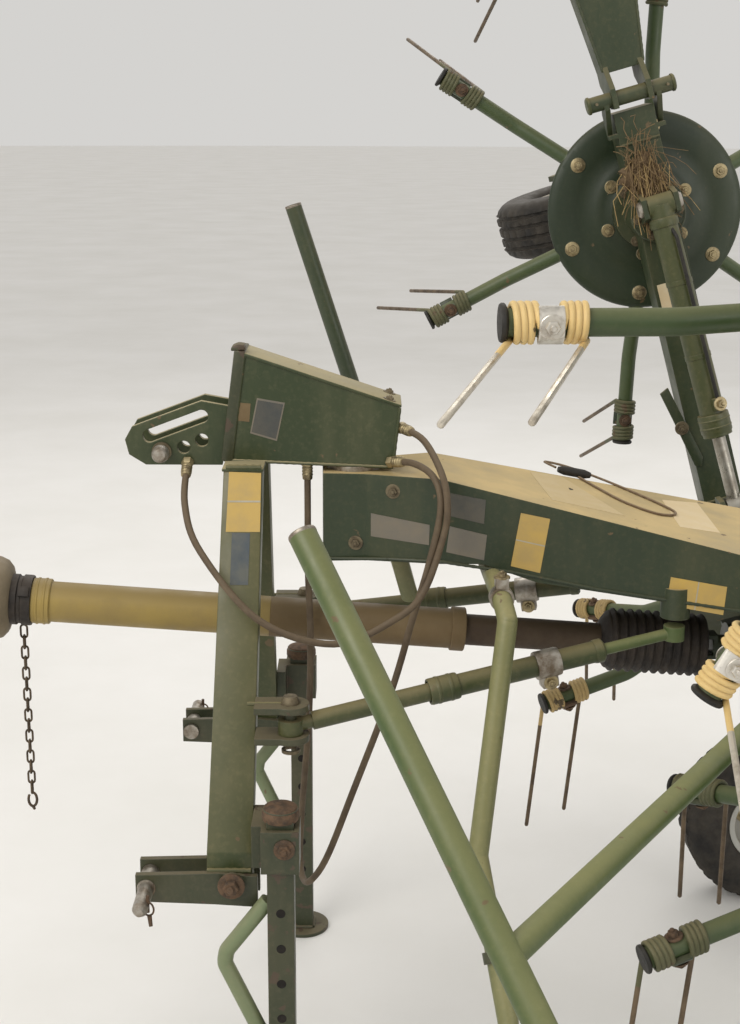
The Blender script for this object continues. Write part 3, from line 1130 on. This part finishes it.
def make_frame_trim():
    shape = Shape()
    for side in (-1, 1):
        gearbox_top(shape, at_rotor(side, 0))
        for x in (-0.064, 0.064):
            for z in (0.098, 0.15, 0.19):
                face = PITCHED @ shift(x, side*(HINGE_Y - HINGE_PLATE), z) @ turn(90*side, "X")
                shape.bolt(face, 0.016, 0.009)
        for x in (-1, 1):
            end = PITCHED @ shift(x*0.094, side*HINGE_Y, HINGE_Z) @ turn(90*x, "Y")
            shape.lathe([(0, -0.001), (0.02, -0.001), (0.02, 0.004), (0.017, 0.007), (0, 0.008)], 28, end, 2)
    shape.piece("frame_trim", "frame", ["zinc", "disc", "steel"])


def make_wing_trim(side):
    base = wing(side)
    if side < 0:
        base = base @ Matrix.Scale(-1, 4, (0, 1, 0))
    shape = Shape()
    gearbox_top(shape, base @ shift(0, 1.5*PITCH, 0))
    shape.prism(CATCH, 0.2005, 0.2075, base, 1, 0.001)
    shape.bolt(base @ shift(*CATCH_BOLT, 0.2075), 0.018, 0.01, 0)
    shape.sweep([(*CATCH_BOLT, 0.19), (*CATCH_BOLT, 0.206)], 0.011, 16, base, 1)
    a, b = [(x, y, SPRING_Z) for x, y in SPRING_ENDS]
    spring(shape, a, b, 0.0071, 0.0014, 18, base, 2)
    for x, y in ((0.0045, 1.342), (0.0255, 1.15)):
        shape.sweep([(x, y, 0.196), (x, y, 0.216)], 0.006, 12, base, 0)
    shape.plate(WING_SIGN, (0, 0, 1), 3, frame=base, proud=0.0012)
    for y in (1, 1.9):
        shape.weld((-0.047, y, 0.1975), (0.047, y, 0.1975), 0.003, base, 1, int(y*10))
    for m in (-1, 1):
        end = base @ shift(m*0.1, OUTER_HINGE_Y, 0.209) @ turn(90*m, "Y")
        shape.lathe([(0, -0.002), (0.0205, -0.002), (0.0205, 0.003), (0.017, 0.006), (0, 0.0065)], 28, end, 4)
        shape.sweep([(m*0.085, OUTER_HINGE_Y, 0.186), (m*0.085, OUTER_HINGE_Y, 0.234)], 0.0035, 10, base, 0)
        pin = base @ shift(m*0.044, *LIFT_PIN) @ turn(90*m, "Y")
        shape.lathe([(0, -0.002), (0.019, -0.002), (0.019, 0.004), (0.015, 0.009), (0, 0.01)], 28, pin, 2)
    shape.piece("wing_trim_" + side_name(side), "wing_" + side_name(side),
                ["dull_bolt", "wing", "steel", "sign_pale", "leg"])
    outer = Shape()
    gearbox_top(outer, base @ shift(0, 2.5*PITCH, 0))
    for m in (-1, 1):
        outer.weld((m*0.0485, 2.075, 0.1965), (m*0.0755, 2.31, 0.1965), 0.003, base, 1, 4 + m)
    outer.piece("outer_trim_" + side_name(side), "outer_" + side_name(side), ["zinc", "wing"])


def make_lift(side):
    """Gland, port and steel line on the lift cylinder's barrel."""
    pin = wing(side) @ Vector((0, side*LIFT_PIN[0], LIFT_PIN[1]))
    eye = PITCHED @ Vector((0, side*LIFT_EYE[0], LIFT_EYE[1]))
    place = along(pin, eye - pin)
    shape = Shape()
    shape.lathe([(0.017, 0.508), (0.0365, 0.508), (0.0375, 0.512), (0.0375, 0.552), (0.035, 0.556),
                 (0.035, 0.562), (0.02, 0.566), (0.017, 0.566)], 44, place, 0, closed=True)
    for s in (0.52, 0.538):
        shape.lathe([(0.0372, s), (0.0384, s + 0.001), (0.0384, s + 0.004), (0.0372, s + 0.005)], 44, place)
    shape.lathe([(0.029, 0.03), (0.033, 0.031), (0.034, 0.035), (0.034, 0.048), (0.033, 0.052),
                 (0.029, 0.053)], 44, place, 0, closed=True)
    away = place.to_3x3().inverted() @ (wing(side).to_3x3() @ Vector((0.35, 0, 1)))
    near = place @ turn(math.degrees(math.atan2(away.y, away.x)), "Z")
    shape.block((0.026, -0.012, 0.47), (0.046, 0.012, 0.5), near, 0, 0.002)
    shape.bolt(near @ shift(0.046, 0, 0.485) @ turn(90, "Y"), 0.018, 0.012, 1)
    line = rounded([(0.04, 0, 0.478), (0.04, 0, 0.08), (0.026, 0, 0.06)], 0.02, 5)
    shape.sweep(line, 0.0045, 12, near, 2)
    for s in (0.18, 0.36):
        shape.ring(0.0298, 0.0312, s, s + 0.012, place, 0)
    shape.piece("lift_detail_" + side_name(side), "lift_barrel_" + side_name(side), ["leg", "zinc", "cap"])


make_frame_trim()
for _side in (-1, 1):
    make_wing_trim(_side)
    make_lift(_side)


# Hay caught on the far wing's gearbox
STRAWS, LUMPS, STRAW_STEPS = 260, 9, 4
HAY_X, HAY_Y, HAY_LOW, HAY_HIGH = -0.01, 1.84, 0.213, 0.252


def make_hay():
    rnd = random.Random(11)
    base = wing(1)
    shape = Shape()
    for i in range(STRAWS):
        rising = i % 4 == 0
        path = [Vector((rnd.gauss(HAY_X, 0.022), HAY_Y + rnd.gauss(0, 0.03),
                        0.224 + abs(rnd.gauss(0, 0.008))))]
        way = Vector((rnd.gauss(0, 0.3), (0.5 if rising else -1.0) + rnd.gauss(0, 0.45), rnd.gauss(0, 0.12)))
        reach = rnd.uniform(0.04, 0.09) if rising else rnd.uniform(0.05, 0.15)
        for k in range(STRAW_STEPS):
            way += Vector((rnd.gauss(0, 0.16), -0.12, rnd.gauss(0, 0.1)))
            step = path[-1] + way.normalized()*reach/STRAW_STEPS
            step.z = min(max(step.z, HAY_LOW), HAY_HIGH)
            path.append(step)
        shape.sweep(path, rnd.uniform(0.0006, 0.0013), 4, base, 0 if i % 4 == 1 else 1)
    for i in range(LUMPS):
        centre = Vector((rnd.gauss(-0.012, 0.02), 1.825 + rnd.gauss(0, 0.034), 0.212))
        lump = base @ Matrix.Translation(centre) @ turn(rnd.uniform(0, 90), "Z")
        shape.lathe([(0.022, 0), (0.026, 0.006), (0.021, 0.017), (0.01, 0.023), (0, 0.024)], 16, lump, 2,
                    shape=lambda k, r, z: r*(1 + 0.25*math.sin(k*2.3 + i)))
    shape.piece("caught_hay", "wing_right", ["hay", "dark_hay", "muck"], "cord_fibre")


make_hay()


# Floor and light
FLOOR_R, FLOOR_SIDES = 70.0, 64
SKY, SEEN_SKY = ((1.0, 0.98, 0.95, 1), 0.8), ((0.66, 0.65, 0.63, 1), 1.0)


def make_stage():
    mesh = bpy.data.meshes.new("floor")
    angles = [math.tau*k/FLOOR_SIDES for k in range(FLOOR_SIDES)]
    verts = [(FLOOR_R*math.cos(a), FLOOR_R*math.sin(a), 0) for a in angles]
    mesh.from_pydata(verts, [], [tuple(range(FLOOR_SIDES))])
    mesh.update()
    obj = bpy.data.objects.new("floor", mesh)
    scene.collection.objects.link(obj)
    mat, tree, bsdf = new_material("pale_floor")
    bsdf.inputs["Roughness"].default_value = 0.9
    tone = mixed(tree, span_of(tree, noise(tree, 1.2, 6, 0.6), 0.3, 0.7), (0.7, 0.69, 0.66),
                 (0.76, 0.75, 0.73))
    tree.links.new(tone, bsdf.inputs["Base Color"])
    obj.data.materials.append(mat)


def area(name, place, target, size, energy, colour):
    data = bpy.data.lights.new(name, "AREA")
    data.shape = "RECTANGLE"
    data.size, data.size_y = size
    data.energy = energy
    data.color = colour
    obj = bpy.data.objects.new(name, data)
    scene.collection.objects.link(obj)
    obj.location = place
    obj.rotation_euler = (Vector(target) - Vector(place)).to_track_quat("-Z", "Y").to_euler()


def make_light():
    """An even pale sky, which the camera sees as a flat tone, and three large lamps."""
    world = bpy.data.worlds.new("world")
    scene.world = world
    world.use_nodes = True
    tree = world.node_tree
    tree.nodes.clear()
    out = tree.nodes.new("ShaderNodeOutputWorld")
    path = node(tree, "LightPath")
    pick = node(tree, "MixShader")
    tree.links.new(path.outputs["Is Camera Ray"], pick.inputs[0])
    for socket, (colour, strength) in ((1, SKY), (2, SEEN_SKY)):
        sky = node(tree, "Background")
        sky.inputs["Color"].default_value = colour
        sky.inputs["Strength"].default_value = strength
        tree.links.new(sky.outputs[0], pick.inputs[socket])
    tree.links.new(pick.outputs[0], out.inputs[0])
    area("key", (-3.5, -3.2, 5), (0.2, 0, 1.2), (3.5, 3.5), 185, (1.0, 0.97, 0.92))
    area("back", (1, 5, 5.5), (0.2, 0, 1.5), (5, 3), 150, (1.0, 0.98, 0.95))
    area("fill", (4.5, -4, 2.5), (0.3, 0, 1.2), (3, 3), 55, (1.0, 0.98, 0.96))


make_stage()
make_light()

scene.view_settings.view_transform = "Standard"
